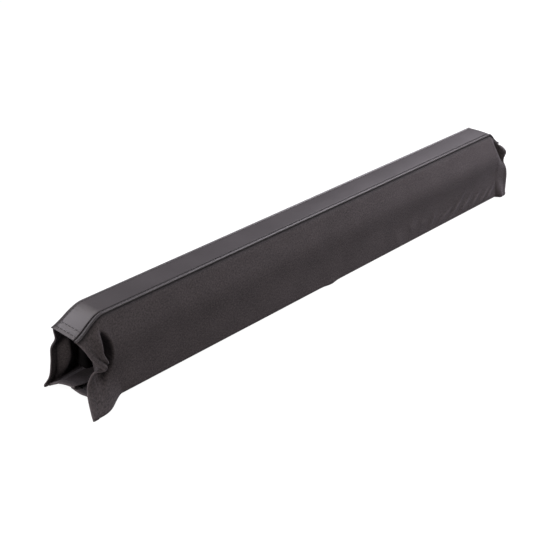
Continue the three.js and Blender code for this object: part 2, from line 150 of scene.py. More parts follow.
@dataclass(frozen=True)
class PadSizes:
    """Sizes of the filled pad in millimetres, the same as the solids'."""

    foam_length: float = 690.0
    foam_end_round: float = 5.0
    past_foam: float = 36.0
    cloth: float = 1.0
    hem: float = 2.2
    hem_width: float = 10.0
    lip: float = 3.0
    lip_width: float = 2.8
    lip_under: float = 0.9
    lip_tuck: float = 2.5
    lip_bend: float = 1.7
    height: float = 91.8
    top_width: float = 37.4
    bottom_width: float = 79.5
    side_bulge: float = 1.2
    crown: float = 0.8
    corner: float = 3.0
    seam_width: float = 2.4
    gap: float = 0.3
    tape_inset: float = 10.0
    tape_width: float = 18.0
    tape: float = 0.9
    overlap: float = 22.0
    overlap_centre: float = 9.0
    ramp: float = 9.0
    ramp_clearance: float = 2.0

    @property
    def half(self) -> float:
        """Half the sleeve's flat length."""
        return self.foam_length / 2 + self.past_foam

    @property
    def turn(self) -> float:
        """Where the cloth leaves the foam."""
        return self.foam_length / 2 - self.foam_end_round

    @property
    def overhang(self) -> float:
        """Length of cloth past the foam."""
        return self.half - self.turn

    @property
    def lip_z(self) -> float:
        """Height of the strip's edges."""
        return self.height - self.cloth / 2 - self.crown

    @property
    def lip_drop(self) -> float:
        """How far a panel's edge lies below the strip's middle."""
        return self.lip_under + self.gap + self.cloth / 2

    @property
    def side_top(self) -> float:
        """Height of a panel's upper edge."""
        return self.lip_z - self.lip_drop

    @property
    def flap_z(self) -> float:
        """Height of the lower flap's middle."""
        return self.cloth / 2

    @property
    def hook_z(self) -> float:
        """Underside of the hook tape."""
        return self.cloth + self.gap

    @property
    def loop_z(self) -> float:
        """Underside of the loop tape."""
        return self.hook_z + self.tape + self.gap

    @property
    def upper_flap_z(self) -> float:
        """Height of the upper flap's middle."""
        return self.loop_z + self.tape + self.gap + self.cloth / 2

    def half_width(self, z: np.ndarray) -> np.ndarray:
        """Work out half the filled cover's width.

        Args:
            z: heights.

        Returns:
            Half the width at each height.
        """
        share = z / self.height
        taper = self.bottom_width / 2 + (self.top_width - self.bottom_width) / 2 * share
        return taper + 4 * self.side_bulge * share * (1 - share)

    def corner_arc(self, start: float, end: float) -> np.ndarray:
        """Draw part of the bottom corner.

        Args:
            start: angle below level at which the part starts.
            end: angle at which it ends.

        Returns:
            Points (y, z), y counted outwards.
        """
        z = self.corner + self.flap_z
        y = self.half_width(z) - self.cloth / 2 - self.corner
        angle = np.linspace(start, end, 9)
        return np.stack([y + self.corner * np.cos(angle), z - self.corner * np.sin(angle)], axis=-1)

    def side_path(self) -> np.ndarray:
        """Draw the side in section, from under the lip to the middle of the bottom corner.

        Returns:
            Points (y, z), y counted outwards.
        """
        bottom = self.corner + self.flap_z
        tuck = self.half_width(self.side_top) - self.cloth / 2 - (self.top_width / 2 - self.lip_tuck)
        z = np.linspace(self.side_top, bottom, 60)[:-1]
        y = self.half_width(z) - self.cloth / 2 - tuck * np.exp(-(self.side_top - z) / self.lip_bend)
        return np.concatenate([np.stack([y, z], axis=-1), self.corner_arc(0, math.pi / 4)])


# How the limp ends hang


@dataclass(frozen=True)
class Dent:
    """A hollow pushed in past the foam, or a bulge where its depth is negative.

    Its place is counted across the cloth and its share along it, from the foam to the hem.
    """

    place: float
    share: float
    place_spread: float
    share_spread: float
    depth: float
    lean: float = 0.0

    def press(self, place: np.ndarray, share: np.ndarray) -> np.ndarray:
        """How deep the dent is at places across the cloth and shares along it."""
        across = self.depth * bell(place, self.place + self.lean * (share - self.share), self.place_spread)
        return across * bell(share, self.share, self.share_spread)


@dataclass(frozen=True)
class Hang:
    """How one end of one side hangs.

    A hem point is (place, along, out, up): its place across the cloth, with 0 at the lip, 1 at the bottom
    corner and 2 at the flap's free edge, and how far it stands from where stiff cloth would put it.
    """

    pull: float
    lip: tuple[float, float, float]
    hem: tuple[tuple[float, float, float, float], ...]
    dents: tuple[Dent, ...]

    def shift(self, place: np.ndarray) -> np.ndarray:
        """How far each place across the hem stands from where stiff cloth would put it."""
        table = np.array(self.hem)
        return through(table[:, 0], table[:, 1:], place)


FRONT_NEAR = Hang(
    pull=40,
    lip=(-4.6, 1.1, -18.9),
    hem=(
        (0, -4.4, 2.2, -17.6),
        (0.1, -7.8, 4.9, -18.2),
        (0.273, -12.8, 6.2, -16.5),
        (0.409, -20.5, 6.6, -15.6),
        (0.5, -10.2, 3.1, -6.3),
        (0.585, -6.1, 0, -6.1),
        (0.72, -1.1, -0.1, -5.5),
        (0.88, 6, 9.8, -2.4),
        (1, 10, 18.4, 0),
        (1.08, 6, 19, 0.9),
        (1.3, -2, 19.4, 1.5),
        (1.55, -9.7, 16.5, 3),
        (1.75, -7.7, 16.4, 3.2),
        (2, -8, 15, 3),
    ),
    dents=(
        Dent(0.62, 0.5, 0.1, 0.2, 4.5),
        Dent(0.5, 0.72, 0.12, 0.1, 4, lean=-2.0),
        Dent(0.2, 0.5, 0.12, 0.14, -2.5),
        Dent(1, 0.5, 0.22, 0.28, -5),
    ),
)
FRONT_FAR = Hang(
    pull=26,
    lip=(-14.5, 1.1, -19.5),
    hem=(
        (0, -14, 2.2, -22),
        (0.1, -9.5, 6.9, -21.3),
        (0.2, -13.5, 4.8, -21.9),
        (0.35, -12, 2.2, -20.7),
        (0.6, -10.5, 2, -14.7),
        (0.8, -13, 1.2, -8.5),
        (0.93, -20, 3.6, -2.6),
        (1, -24.5, 6.4, 0.3),
        (1.2, -28, 4.4, 1),
        (1.5, -23, 1.5, 1.5),
        (2, -15, 1, 1.5),
    ),
    dents=(Dent(0.17, 0.6, 0.09, 0.34, 9, lean=0.24), Dent(0.98, 0.4, 0.2, 0.32, -4)),
)
BACK_NEAR = Hang(
    pull=44,
    lip=(-1.9, 1.7, -16.9),
    hem=(
        (0, -1.7, 2.8, -15.6),
        (0.12, -7.5, 1.3, -21.2),
        (0.22, -8.6, 0.3, -19.3),
        (0.42, -8.1, 3.8, -15.9),
        (0.68, -5.1, 1.0, -10.2),
        (0.86, 0, -4.0, -6.3),
        (1, 9, -8.2, -0.1),
        (1.08, 6.5, -5.8, 0.8),
        (1.15, 4, -3.5, 0.5),
        (1.4, -1.4, -2.3, 0.8),
        (1.7, -5, 0.3, 1.8),
        (2, -7.5, 0, 2.4),
    ),
    dents=(Dent(0.66, 0.42, 0.26, 0.2, 10),),
)
BACK_FAR = Hang(
    pull=26,
    lip=(-14, 1.4, -21),
    hem=(
        (0, -12, 2.4, -21.5),
        (0.3, -7, 0, -19),
        (0.6, -6, 1, -12),
        (0.85, -2, 2, -5.5),
        (1, 4, 5, 0),
        (1.08, 2, 4.5, 0.8),
        (1.3, -3, 2, 0.6),
        (2, -8, 0, 2),
    ),
    dents=(Dent(0.3, 0.42, 0.2, 0.18, 6),),
)


# Creases, hollows and ripples of the side cloth


@dataclass(frozen=True)
class Crease:
    """A raised crease on a side panel, from one point (x, z) to another, with a sharp crest."""

    start: tuple[float, float]
    end: tuple[float, float]
    height: float = 3.0
    blunt: float = 0.5
    fade: float = 1.75
    foot: float = 6.0
    crest_spread: float = 1.1
    # The next three place the painted shade beside the crest; the last sets the height at which the crest's
    # painted highlight is full.
    shade_off: float = 3.0
    shade_spread: float = 1.7
    shade_depth: float = 0.5
    full_wear_and_light: float = 6.0

    def reach(self, x: np.ndarray, z: np.ndarray) -> tuple[np.ndarray, np.ndarray]:
        """Find where points of the side lie on the crease.

        Args:
            x: places along the pad.
            z: heights.

        Returns:
            Distances from the crest's line, and the crease's strength there.
        """
        dx, dz = self.end[0] - self.start[0], self.end[1] - self.start[1]
        length = math.hypot(dx, dz)
        run = ((x - self.start[0]) * dx + (z - self.start[1]) * dz) / length
        off = ((x - self.start[0]) * dz - (z - self.start[1]) * dx) / length
        return off, smooth(z / self.foot) * bell(run, length / 2, length / 2)

    def lift(self, x: np.ndarray, z: np.ndarray) -> np.ndarray:
        """How far the crease stands out at points of the side."""
        off, strength = self.reach(x, z)
        return self.height * strength * np.exp(-np.sqrt(off**2 + self.blunt) / self.fade)

    def wear_and_light(self, x: np.ndarray, z: np.ndarray) -> np.ndarray:
        """Work out the painted highlight on the crest, partly from rubbing, and the painted shade beside it,
        at points of the side.

        Args:
            x: places along the pad.
            z: heights.

        Returns:
            Above 0 where the crest gets a painted highlight, partly from rubbing, and below 0 where painted
            shade lies beside it.
        """
        off, strength = self.reach(x, z)
        valley_shade = self.shade_depth * bell(np.abs(off), self.shade_off, self.shade_spread)
        return self.height / self.full_wear_and_light * strength * (bell(off, 0, self.crest_spread) - valley_shade)


@dataclass(frozen=True)
class Hollow:
    """Where the cloth sinks in over the foam's end: a curved wall at one x, deepest at one height."""

    wall: float
    reach: float
    z: float
    spread: float
    depth: float
    top_curve: float = 0.018
    bottom_curve: float = 0.012
    let_go_low: float = 0.44
    let_go_less: float = 0.28
    less_from: float = 56.0
    less_over: float = 24.0
    let_go_over: float = 0.22

    def sink(self, x: np.ndarray, z: np.ndarray) -> np.ndarray:
        """Work out how far the cloth sinks at points of the side.

        Args:
            x: places along the pad.
            z: heights.

        Returns:
            Depths inwards.
        """
        way = math.copysign(1, self.wall)
        above, below = np.maximum(z - self.z, 0), np.minimum(z - self.z, 0)
        start = self.wall + way * (self.top_curve * above**2 + self.bottom_curve * below**2)
        return self.depth * smooth(way * (x - start) / self.reach) * bell(z, self.z, self.spread)

    def held(self, share: np.ndarray, z: np.ndarray) -> np.ndarray:
        """How much of the depth is left by the share of the way from the foam to the hem."""
        let_go = self.let_go_low - self.let_go_less * smooth((z - self.less_from) / self.less_over)
        return 1 - smooth((share - let_go) / self.let_go_over)


@dataclass(frozen=True)
class Ripple:
    """A slow ripple of slack cloth: its height, its lengths along and up the side, and its phase."""

    height: float
    run: float
    rise: float
    phase: float

    def at(self, x: np.ndarray, z: np.ndarray) -> np.ndarray:
        """How far the ripple stands out at points of the side."""
        return self.height * np.sin(x / self.run + z / self.rise + self.phase)


@dataclass(frozen=True)
class Snag:
    """A small pucker of the bottom edge, where the cloth catches."""

    x: float
    depth: float = 2.4
    length: float = 9.0
    place_spread: float = 0.07

    def lift(self, x: np.ndarray, place: np.ndarray) -> np.ndarray:
        """How far the snag stands out at stations and places."""
        return self.depth * bell(x, self.x, self.length) * bell(place, 1.0, self.place_spread)


FRONT_CREASES = (
    Crease((205, 7), (231, 18)),
    Crease((227, 4), (260, 27), 3.8),
    Crease((251, 6), (278, 22), 3.4),
    Crease((273, 5), (299, 19), 3.4),
    Crease((293, 4), (321, 18), 3.4),
    Crease((313, 5), (336, 20), 3.2),
    Crease((186, 5), (200, 24), 2.2),
    Crease((166, 5), (176, 27), 2.2),
    Crease((143, 4), (150, 27), 2.2),
    Crease((117, 4), (120, 24), 1.8),
    Crease((98, 5), (100, 25), 1.1),
    Crease((26, 18), (27, 34), 1.2),
)
FRONT_HOLLOW = Hollow(wall=-341.5, reach=6.0, z=57.0, spread=24.0, depth=25.0)
FRONT_SNAG = Snag(x=-14.0)


# The sides as surfaces


@dataclass(frozen=True)
class Side:
    """One side of the cover as a surface: a panel and its flap, in one cloth."""

    sizes: PadSizes
    sign: int
    flap_ends: tuple[tuple[float, float], ...]
    near: Hang
    far: Hang
    creases: tuple[Crease, ...] = ()
    hollow: Hollow | None = None
    snag: Snag | None = None

    shoulder: float = 4.6
    far_shoulder: float = 2.6
    shoulder_z: float = 59.0
    shoulder_spread: float = 20.0
    leave_flare: float = 0.5
    hem_pull: float = 36.0
    hem_flare: float = -0.25
    hem_level: float = 0.45
    lip_fade: float = 0.12
    leave_fade: float = 0.15
    calm_over: float = 12.0

    def section(self, place: np.ndarray) -> np.ndarray:
        """Draw the section through panel and flap.

        Args:
            place: places across the cloth, from 0 to 2.

        Returns:
            Points (y, z), y counted outwards.
        """
        flap = np.concatenate([self.sizes.corner_arc(math.pi / 4, math.pi / 2), np.array(self.flap_ends)])
        upper = along_path(self.sizes.side_path(), np.clip(place, 0, 1))
        lower = along_path(flap, np.clip(place - 1, 0, 1))
        return np.where((place <= 1)[:, None], upper, lower)

    def lengths(self) -> tuple[float, float]:
        """Measure the lengths across the cloth.

        Returns:
            The panel's and the flap's.
        """
        steps = 400
        fine = np.linspace(0, 2, 2 * steps + 1)
        pieces = np.linalg.norm(np.diff(self.section(fine), axis=0), axis=1)
        return float(pieces[:steps].sum()), float(pieces[steps:].sum())

    def draped(self, x: np.ndarray, flat: np.ndarray, shift: np.ndarray, hang: Hang) -> np.ndarray:
        """Draw a limp end, on splines from where the cloth leaves the foam to its hem.

        Args:
            x: stations along one end, n of them.
            flat: section points, m by 2.
            shift: how far the hem stands from stiff cloth's place, m by 3.
            hang: how this end hangs.

        Returns:
            Points, n by m by 3.
        """
        sizes = self.sizes
        way = 1.0 if x[0] > 0 else -1.0
        share = ((np.abs(x) - sizes.turn) / sizes.overhang)[:, None, None]
        count = len(flat)
        leave = np.stack([np.full(count, way * sizes.turn), self.sign * flat[:, 0], flat[:, 1]], axis=-1)
        hem_x = way * (sizes.half + shift[:, 0])
        hem_y = self.sign * (flat[:, 0] + shift[:, 1])
        hem = np.stack([hem_x, hem_y, flat[:, 1] + shift[:, 2]], axis=-1)
        chord = hem - leave
        flare = self.leave_flare * chord[:, 1]
        leaving = np.stack([np.full(count, way * hang.pull), flare, np.zeros(count)], axis=-1)
        arriving = unit(chord * np.array([1, self.hem_flare, self.hem_level])) * self.hem_pull
        return hermite(share, leave, leaving, hem, arriving)

    def ends(self, x: np.ndarray) -> tuple[tuple[np.ndarray, Hang], ...]:
        """Tell which stations lie on each limp end.

        Args:
            x: stations along the pad.

        Returns:
            For each end that has stations, their mask and how that end hangs.
        """
        both = ((x < -self.sizes.turn, self.near), (x > self.sizes.turn, self.far))
        return tuple((mask, hang) for mask, hang in both if mask.any())

    def lip(self, x: np.ndarray) -> np.ndarray:
        """Draw the outer edge of the top strip's lip on this side.

        Args:
            x: stations along the pad.

        Returns:
            One point for each station.
        """
        edge = np.array([[self.sizes.top_width / 2, self.sizes.lip_z]])
        y, z = np.full(len(x), self.sign * edge[0, 0]), np.full(len(x), edge[0, 1])
        points = np.stack([x, y, z], axis=-1)
        for mask, hang in self.ends(x):
            points[mask] = self.draped(x[mask], edge, np.array([hang.lip]), hang)[:, 0]
        return points

    def limp_end(self, x: np.ndarray, place: np.ndarray, flat: np.ndarray, hang: Hang) -> np.ndarray:
        """Draw one limp end with its dents, before its edge is tucked under the lip.

        Args:
            x: stations along the end.
            place: places across the cloth.
            flat: the section's points at these places.
            hang: how the end hangs.

        Returns:
            Points, stations by places by 3.
        """
        share = ((np.abs(x) - self.sizes.turn) / self.sizes.overhang)[:, None]
        end = self.draped(x, flat, hang.shift(place), hang)
        fade = smooth(place / self.lip_fade)[None] * smooth(share / self.leave_fade)
        for dent in hang.dents:
            end[..., 1] -= self.sign * dent.press(place[None], share) * fade
        return end

    def surface(self, x: np.ndarray, place: np.ndarray, strip: "StripFrame") -> np.ndarray:
        """Draw the middle of the cloth's thickness.

        Args:
            x: stations along the pad.
            place: places across the cloth, from 0 to 2.
            strip: the top strip's own axes at the same stations.

        Returns:
            Points, stations by places by 3.
        """
        sizes = self.sizes
        flat = self.section(place)
        flat[:, 0] += self.shoulder * bell(flat[:, 1], self.shoulder_z, self.shoulder_spread) * (place <= 1)
        points = np.empty((len(x), len(place), 3))
        level = np.abs(x) <= sizes.turn
        lift = np.zeros((level.sum(), 1))
        for crease in self.creases:
            lift = lift + crease.lift(x[level][:, None], flat[None, :, 1])
        points[level, :, 0] = x[level][:, None]
        points[level, :, 1] = self.sign * (flat[None, :, 0] + lift * (place <= 1))
        points[level, :, 2] = flat[None, :, 1]
        for mask, hang in self.ends(x):
            edge = self.draped(x[mask], flat[:1], hang.shift(place[:1]), hang)
            inwards, down = -self.sign * strip.across[mask], -strip.up[mask]
            tucked = self.lip(x[mask]) + sizes.lip_tuck * inwards + sizes.lip_drop * down
            slack = (tucked[:, None] - edge) * smooth(1 - place / self.lip_fade)[None, :, None]
            points[mask] = self.limp_end(x[mask], place, flat, hang) + slack
        points[..., 1] += self.sign * self.wander(x, place, flat)
        return points

    def wander(self, x: np.ndarray, place: np.ndarray, flat: np.ndarray) -> np.ndarray:
        """Work out how far the cloth wanders from its smooth shape.

        Args:
            x: stations along the pad.
            place: places across the cloth.
            flat: the section's points at these places.

        Returns:
            Distances outwards, stations by places.
        """
        along, z = x[:, None], flat[None, :, 1]
        past_foam = np.abs(along) - self.sizes.turn
        body = (smooth(place / 0.1) * smooth((1.02 - place) / 0.12))[None]
        waves = Ripple(0.30, 33, 41, self.sign).at(along, z) + Ripple(0.22, 19, -17, 1.3).at(along, z)
        waves = waves + Ripple(0.10, 7.3, 9, 0.7).at(along, z) * np.sin(along / 61 + 2)
        out = waves * body * (1 - smooth(past_foam / self.calm_over))
        fuller = smooth((along + 50) / 350) * (1 - smooth((along - self.sizes.turn) / 30))
        out = out + self.far_shoulder * fuller * bell(z, self.shoulder_z, self.shoulder_spread) * body
        if self.hollow is not None:
            share = np.clip(past_foam / self.sizes.overhang, 0, 1)
            out = out - self.hollow.sink(along, z) * self.hollow.held(share, z) * (place <= 1)[None]
        if self.snag is not None:
            out = out + self.snag.lift(along, place[None])
        return out


@dataclass
class StripFrame:
    """The top strip's own axes at each station along the pad."""

    middle: np.ndarray
    across: np.ndarray
    up: np.ndarray
    width: np.ndarray

    @classmethod
    def at(cls, x: np.ndarray, front: Side, back: Side) -> "StripFrame":
        """Work out the axes from the lips of both sides.

        Args:
            x: stations along the pad.
            front: the front side.
            back: the back side.

        Returns:
            The axes.
        """
        step = 0.3
        low, high = front.lip(x), back.lip(x)
        ahead = front.lip(x + step) - front.lip(x - step)
        width = np.linalg.norm(high - low, axis=1)
        across = unit(high - low)
        return cls((low + high) / 2, across, unit(np.cross(ahead, across)), width)


# Meshes


def make_object(
    name: str, points: np.ndarray, faces: Sequence[Sequence[int]], flat: np.ndarray | None = None
) -> bpy.types.Object:
    """Make a smooth shaded mesh object.

    Args:
        name: the piece's name.
        points: its vertices in millimetres.
        faces: its faces, as vertex numbers.
        flat: place of each vertex on the flat cloth in millimetres, for patterns.

    Returns:
        The object, linked to the scene.
    """
    mesh = bpy.data.meshes.new(name)
    mesh.from_pydata((points * MM).tolist(), [], [list(map(int, face)) for face in faces])
    if flat is not None:
        layer = mesh.attributes.new(FLAT, "FLOAT_VECTOR", "POINT")
        layer.data.foreach_set("vector", (flat * MM).astype(np.float32).ravel())
    mesh.validate()
    mesh.shade_smooth()
    made = bpy.data.objects.new(name, mesh)
    bpy.context.scene.collection.objects.link(made)
    return made


def grid_faces(rows: int, columns: int, start: int, turned: bool) -> np.ndarray:
    """Join a grid of points by quads.

    Args:
        rows: how many rows of points there are.
        columns: how many points a row has.
        start: the first point's number.
        turned: whether the quads are turned round.

    Returns:
        One row of four point numbers for each quad.
    """
    first = (start + np.arange(rows - 1)[:, None] * columns + np.arange(columns - 1)[None]).ravel()
    quads = np.stack([first, first + 1, first + columns + 1, first + columns], axis=-1)
    return quads[:, ::-1] if turned else quads


def closed_sheet(
    name: str, top: np.ndarray, under: np.ndarray, flat: np.ndarray, turned: bool
) -> bpy.types.Object:
    """Close two grids of points into one thin solid.

    Args:
        name: the piece's name.
        top: points of one face, rows by columns by 3.
        under: points of the other face.
        flat: flat place of each grid point, rows by columns by 3.
        turned: whether the first face's quads are turned round.

    Returns:
        The object.
    """
    rows, columns = top.shape[:2]
    count = rows * columns
    sides = [
        np.arange(columns),
        np.arange(1, rows) * columns + columns - 1,
        (rows - 1) * columns + np.arange(columns - 2, -1, -1),
        np.arange(rows - 2, 0, -1) * columns,
    ]
    rim = np.concatenate(sides)
    after = np.roll(rim, -1)
    edge = np.stack([rim, rim + count, after + count, after], axis=-1)
    edge = edge[:, ::-1] if turned else edge
    faces = [grid_faces(rows, columns, 0, turned), grid_faces(rows, columns, count, not turned), edge]
    points = np.concatenate([top.reshape(-1, 3), under.reshape(-1, 3)])
    return make_object(name, points, np.concatenate(faces), np.concatenate([flat.reshape(-1, 3)] * 2))


def rounded_stations(half: float, thickness: float) -> np.ndarray:
    """Distances of the stations that round a folded edge, out to the edge itself."""
    radius = thickness / 2
    return half - radius + radius * np.sin(np.linspace(0, math.pi / 2, 6))


def end_stations(sizes: PadSizes, count: int) -> np.ndarray:
    """Distances of the stations over one limp end, closest together where its hem is round."""
    run = np.linspace(sizes.turn + 1, sizes.half - sizes.hem / 2 - 0.5, count)
    return np.concatenate([run, rounded_stations(sizes.half, sizes.hem)])


def edge_round(distance: np.ndarray, thickness: float) -> np.ndarray:
    """Share of the thickness that is left close to a round edge, by the distance from the edge."""
    depth = np.clip(distance / (thickness / 2), 0, 1)
    return np.sqrt(np.clip(1 - (1 - depth) ** 2, 0.0025, 1))


@dataclass(frozen=True)
class StitchRow:
    """A row of machine stitches that follows a line on a cloth's face.

    A stitch's profile is (along, depth, thickness): shares of its length, and of its radius.
    """

    line: np.ndarray
    normal: np.ndarray
    pitch: float
    length: float
    radius: float
    sides: int = 6
    flatness: float = 0.8
    profile: tuple[tuple[float, float, float], ...] = (
        (-0.5, -0.9, 0.35),
        (-0.42, -0.05, 0.85),
        (-0.2, 0.35, 1.0),
        (0.2, 0.35, 1.0),
        (0.42, -0.05, 0.85),
        (0.5, -0.9, 0.35),
    )

    def build(self) -> tuple[np.ndarray, np.ndarray]:
        """Make each stitch a short thread whose ends sink into the cloth.

        Returns:
            Vertices in millimetres, and quads.
        """
        run = np.concatenate([[0.0], np.cumsum(np.linalg.norm(np.diff(self.line, axis=0), axis=1))])
        count = int((run[-1] - self.length) / self.pitch)
        start = (run[-1] - count * self.pitch) / 2
        centres = start + self.pitch * (np.arange(count) + 0.5)
        scale = np.array([[self.length], [self.radius], [self.radius]])
        along, depth, thick = np.array(self.profile).T * scale
        at = centres[:, None] + along[None]
        middle = np.stack([np.interp(at, run, self.line[:, k]) for k in range(3)], axis=-1)
        up = unit(np.stack([np.interp(at, run, self.normal[:, k]) for k in range(3)], axis=-1))
        beside = unit(np.cross(unit(np.gradient(middle, axis=1)), up))
        corner = np.arange(self.sides)
        angle = corner * 2 * math.pi / self.sides
        across = np.cos(angle)[:, None] * thick[None, :, None, None]
        above = np.sin(angle)[:, None] * thick[None, :, None, None] * self.flatness
        centre = (middle + up * depth[None, :, None])[:, :, None]
        ring = centre + beside[:, :, None] * across + up[:, :, None] * above
        stations = len(along)
        row = np.arange(stations - 1)[:, None] * self.sides
        base = (row + corner[None]).ravel()
        turn = (row + ((corner + 1) % self.sides)[None]).ravel()
        one = np.stack([base, turn, turn + self.sides, base + self.sides], axis=-1)
        quads = one[None] + (np.arange(count) * stations * self.sides)[:, None, None]
        return ring.reshape(-1, 3), quads.reshape(-1, 4)


def stitch_piece(name: str, rows: Sequence[StitchRow]) -> bpy.types.Object:
    """Gather rows of stitches into one piece.

    Args:
        name: the piece's name.
        rows: the rows.

    Returns:
        The object.
    """
    points, faces, count = [], [], 0
    for row in rows:
        row_points, row_faces = row.build()
        points.append(row_points)
        faces.append(row_faces + count)
        count += len(row_points)
    return make_object(name, np.concatenate(points), np.concatenate(faces))


# Finishes


def linear(code: str) -> tuple[float, float, float, float]:
    """Turn an sRGB hex value to the linear colour that Blender's sockets take."""
    parts = [int(code[i : i + 2], 16) / 255 for i in (0, 2, 4)]
    return (*[p / 12.92 if p <= 0.04045 else ((p + 0.055) / 1.055) ** 2.4 for p in parts], 1.0)


def add_node(
    tree: bpy.types.NodeTree,
    kind: str,
    settings: dict[str, object] | None = None,
    values: dict[str | int, object] | None = None,
    links: dict[str | int, bpy.types.NodeSocket] | None = None,
    stops: Sequence[tuple[float, str]] = (),
) -> bpy.types.Node:
    """Add a node with its settings, its sockets' values and its links.

    Args:
        tree: the material's or world's node tree.
        kind: the node's type.
        settings: properties of the node.
        values: values of its input sockets.
        links: sockets that feed its input sockets.
        stops: places and hex colours of a colour ramp's two ends.

    Returns:
        The node.
    """
    node = tree.nodes.new(kind)
    for key, value in (settings or {}).items():
        setattr(node, key, value)
    for key, value in (values or {}).items():
        node.inputs[key].default_value = value
    for key, socket in (links or {}).items():
        tree.links.new(socket, node.inputs[key])
    for end, (position, code) in enumerate(stops):
        node.color_ramp.elements[end].position = position
        node.color_ramp.elements[end].color = linear(code)
    return node


def new_material(name: str) -> tuple[bpy.types.Material, bpy.types.NodeTree]:
    """Start an empty node material.

    Args:
        name: its name.

    Returns:
        The material and its node tree.
    """
    material = bpy.data.materials.new(name)
    material.use_nodes = True
    material.node_tree.nodes.clear()
    return material, material.node_tree


@dataclass(frozen=True)
class WovenPolyester:
    """Polyester pack cloth, 600 denier, plain woven and dyed black.

    To the eye it is a matt dark grey with a fine salt and pepper grain where yarns cross, and a faint
    bluish fuzz at grazing angles. Crease crests and hem edges get a painted highlight, partly from
    rubbing, and beside the creases and under the strip's lip lies painted shade.
    """

    name: str = "polyester_plain_weave"
    dark: str = "1d1919"
    pale: str = "453f3f"
    # Painted highlight, partly from rubbing, on crease crests and hem edges.
    fold: str = "5c5657"
    # Painted shade: along the top edge under the strip's lip, and beside each crease.
    seam: str = "0b0a0a"
    fuzz: str = "b8b4c0"
    roughness: float = 0.82
    yarn_mm: float = 1.15  # the real yarn spacing is about 0.5 mm, too fine to show here
    grain_mm: float = 1.9
    blotch_mm: float = 38.0
    weave_share: float = 0.12
    blotch_share: float = 0.16
    dark_from: float = 0.41
    pale_from: float = 0.75

    def weave(self, tree: bpy.types.NodeTree, place: bpy.types.NodeSocket) -> bpy.types.NodeSocket:
        """Cross warp and weft yarns.

        Args:
            tree: the material's node tree.
            place: the place on the flat cloth.

        Returns:
            The yarns' height, from -1 to 1.
        """
        turns = 2 * math.pi / (self.yarn_mm * MM)
        scaled = add_node(tree, "ShaderNodeVectorMath", {"operation": "SCALE"}, {"Scale": turns}, {0: place})
        split = add_node(tree, "ShaderNodeSeparateXYZ", links={0: scaled.outputs[0]})
        warp = add_node(tree, "ShaderNodeMath", {"operation": "SINE"}, links={0: split.outputs["X"]})
        weft = add_node(tree, "ShaderNodeMath", {"operation": "SINE"}, links={0: split.outputs["Y"]})
        yarns = {0: warp.outputs[0], 1: weft.outputs[0]}
        return add_node(tree, "ShaderNodeMath", {"operation": "MULTIPLY"}, links=yarns).outputs[0]

    def tone(
        self,
        tree: bpy.types.NodeTree,
        place: bpy.types.NodeSocket,
        weave: bpy.types.NodeSocket,
        grain: bpy.types.NodeSocket,
    ) -> bpy.types.NodeSocket:
        """Colour the cloth: paler where yarns cross, with a painted highlight on crease crests and hem edges
        that is partly from rubbing, and painted shade beside creases and under the strip's lip.

        Args:
            tree: the material's node tree.
            place: the place on the flat cloth.
            weave: the yarns' height.
            grain: the yarns' chance differences.

        Returns:
            The colour.
        """
        blotches = {"Scale": 1 / (self.blotch_mm * MM), "Detail": 2.0}
        blotch = add_node(tree, "ShaderNodeTexNoise", values=blotches, links={"Vector": place})
        add = {"operation": "MULTIPLY_ADD"}
        mixed = add_node(tree, "ShaderNodeMath", add, {1: self.weave_share}, {0: weave, 2: grain})
        parts = {0: blotch.outputs["Fac"], 2: mixed.outputs[0]}
        toned = add_node(tree, "ShaderNodeMath", add, {1: self.blotch_share}, parts)
        stops = ((self.dark_from, self.dark), (self.pale_from, self.pale))
        ramp = add_node(tree, "ShaderNodeValToRGB", links={0: toned.outputs[0]}, stops=stops)
        mark = {"Value": add_node(tree, "ShaderNodeSeparateXYZ", links={0: place}).outputs["Z"]}
        blend = {"data_type": "RGBA"}
        # Painted highlight, partly from rubbing, where the third number is above 0.
        rubbed_and_highlit = add_node(tree, "ShaderNodeMapRange", values={"From Max": MM, "To Max": 0.55}, links=mark)
        parts = {0: rubbed_and_highlit.outputs[0], 6: ramp.outputs[0]}
        worn_and_highlit = add_node(tree, "ShaderNodeMix", blend, {7: linear(self.fold)}, parts)
        # Painted shade where the third number is below 0.
        painted_shade = add_node(tree, "ShaderNodeMapRange", values={"From Max": -MM, "To Max": 0.9}, links=mark)
        parts = {0: painted_shade.outputs[0], 6: worn_and_highlit.outputs[2]}
        return add_node(tree, "ShaderNodeMix", blend, {7: linear(self.seam)}, parts).outputs[2]

    def build(self) -> bpy.types.Material:
        """Make the material.

        Returns:
            The material, with crossing yarns in bump and a grain of paler yarns in colour.
        """
        material, tree = new_material(self.name)
        stored = {"attribute_name": FLAT, "attribute_type": "GEOMETRY"}
        place = add_node(tree, "ShaderNodeAttribute", stored).outputs["Vector"]
        weave = self.weave(tree, place)
        grains = {"Scale": 1 / (self.grain_mm * MM), "Detail": 3.0, "Roughness": 0.7}
        grain = add_node(tree, "ShaderNodeTexNoise", values=grains, links={"Vector": place}).outputs["Fac"]
        colour = self.tone(tree, place, weave, grain)
        parts = {0: weave, 2: grain}
        height = add_node(tree, "ShaderNodeMath", {"operation": "MULTIPLY_ADD"}, {1: 0.5}, parts)
        relief = {"Strength": 0.5, "Distance": 0.25 * MM}
        bump = add_node(tree, "ShaderNodeBump", values=relief, links={"Height": height.outputs[0]})
        surface = {
            "Roughness": self.roughness,
            "Sheen Weight": 0.2,
            "Sheen Roughness": 0.5,
            "Sheen Tint": linear(self.fuzz),
            "Specular IOR Level": 0.35,
        }
        fed = {"Base Color": colour, "Normal": bump.outputs[0]}
        shader = add_node(tree, "ShaderNodeBsdfPrincipled", values=surface, links=fed)
        add_node(tree, "ShaderNodeOutputMaterial", links={"Surface": shader.outputs[0]})
        return material


